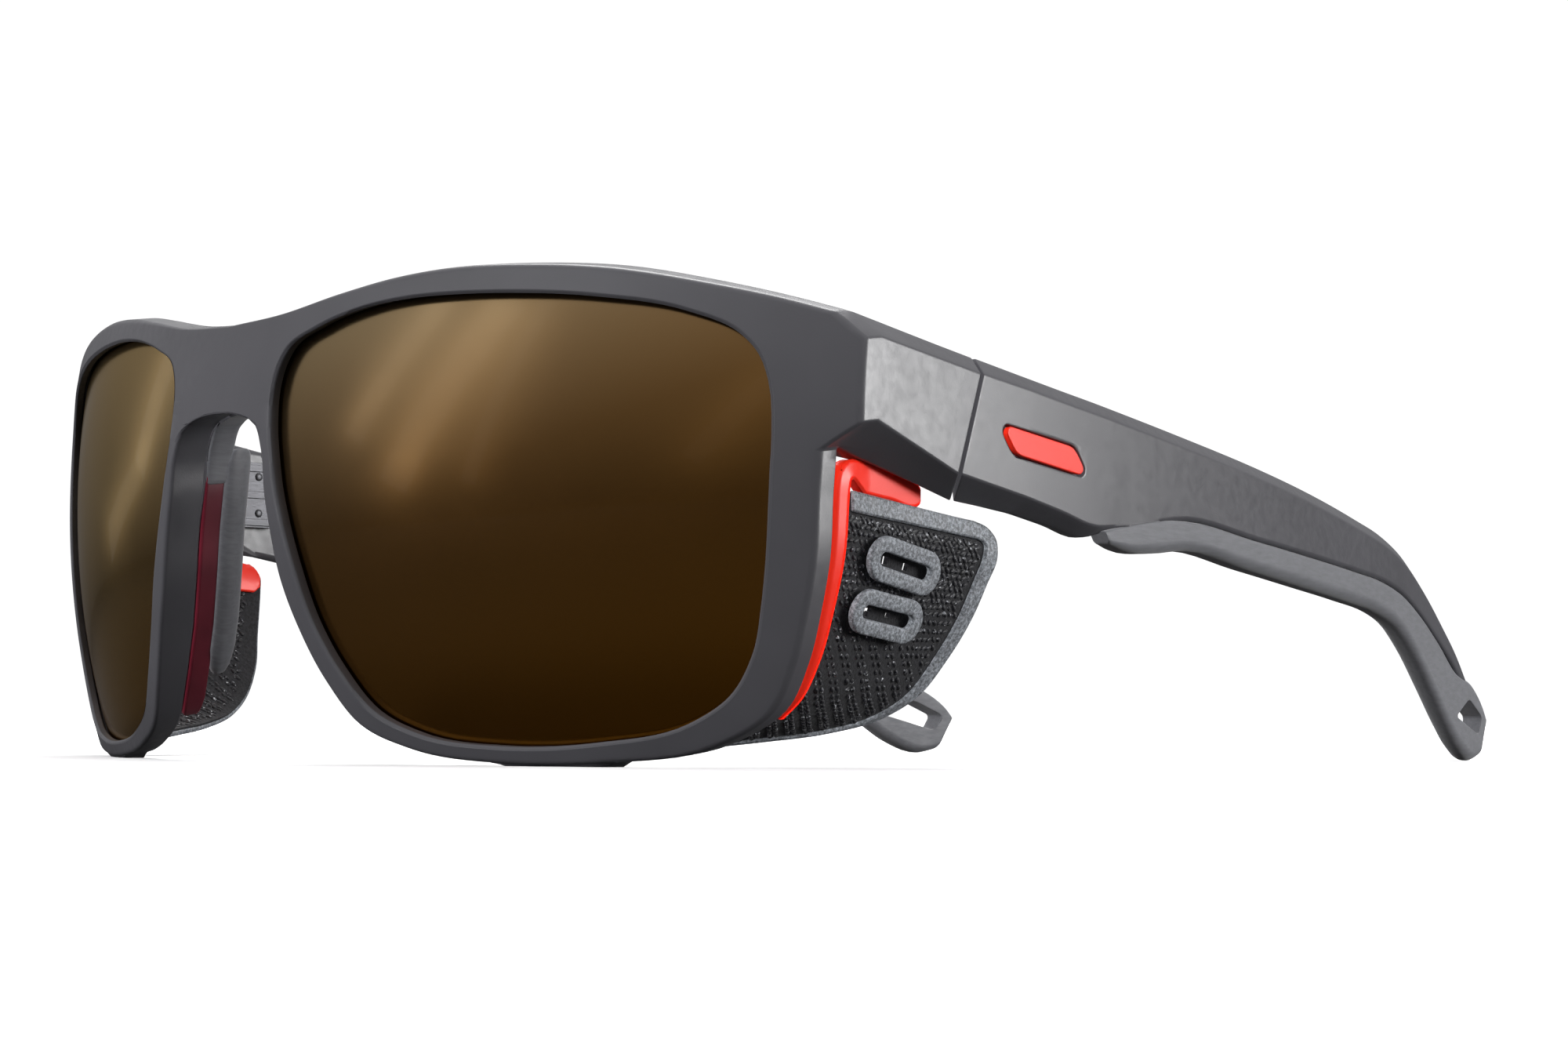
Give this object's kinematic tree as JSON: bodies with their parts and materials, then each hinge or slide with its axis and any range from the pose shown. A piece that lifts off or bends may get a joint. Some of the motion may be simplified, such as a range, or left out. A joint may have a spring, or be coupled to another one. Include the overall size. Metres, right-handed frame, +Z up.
{
  "type": "glacier glasses",
  "caption": "Wrap-around glacier sunglasses with folding temples, soft nose pads and grips, and removable fabric side shields.",
  "frame": {"origin": "middle of the footprint, on the surface that the open glasses stand on", "axes": "+Z up, -Y the way the wearer looks, +X to the wearer's left; the YZ plane is the mirror plane"},
  "size_m": [0.1418, 0.1624, 0.0508],
  "materials": {
    "frame": "satin dark grey injected nylon",
    "lens": "brown tinted polymer with a gold mirror flash",
    "pad_base": "wine red moulded carrier",
    "soft_grip": "soft matte grey elastomer",
    "red": "signal red moulded plastic",
    "hinge_steel": "stamped steel",
    "shield_mesh": "black technical mesh",
    "shield_trim": "grey welded edging film"
  },
  "bodies": {
    "front": {"front_frame": "frame", "lens_left": "lens", "lens_right": "lens", "nose_pad_base_left": "pad_base", "nose_pad_base_right": "pad_base", "nose_pad_left": "soft_grip", "nose_pad_right": "soft_grip", "hinge_front_leaf_left": "hinge_steel", "hinge_front_leaf_right": "hinge_steel", "hinge_screw_left": "hinge_steel", "hinge_screw_right": "hinge_steel"},
    "left_temple": {"temple_left": "frame", "temple_grip_left": "soft_grip", "emblem_left": "red", "hinge_temple_leaf_left": "hinge_steel"},
    "right_temple": {"temple_right": "frame", "temple_grip_right": "soft_grip", "emblem_right": "red", "hinge_temple_leaf_right": "hinge_steel"},
    "left_shield": {"shield_clip_left": "red", "shield_fabric_left": "shield_mesh", "shield_trim_left": "shield_trim", "vent_ring_upper_left": "shield_trim", "vent_ring_lower_left": "shield_trim"},
    "right_shield": {"shield_clip_right": "red", "shield_fabric_right": "shield_mesh", "shield_trim_right": "shield_trim", "vent_ring_upper_right": "shield_trim", "vent_ring_lower_right": "shield_trim"}
  },
  "joints": [
    {"name": "left_temple_fold", "type": "hinge", "parent": "front", "child": "left_temple", "pos_m": [0.0646, -0.03745, 0.034], "axis": [0, 0, 1], "range_deg": [0, 82]},
    {"name": "right_temple_fold", "type": "hinge", "parent": "front", "child": "right_temple", "pos_m": [-0.0646, -0.03745, 0.034], "axis": [0, 0, -1], "range_deg": [0, 70]},
    {"name": "left_shield_unclip", "type": "slide", "parent": "front", "child": "left_shield", "axis": [0, 0.9613, -0.2756], "range_m": [0, 0.006]},
    {"name": "right_shield_unclip", "type": "slide", "parent": "front", "child": "right_shield", "axis": [0, 0.9613, -0.2756], "range_m": [0, 0.006]}
  ]
}
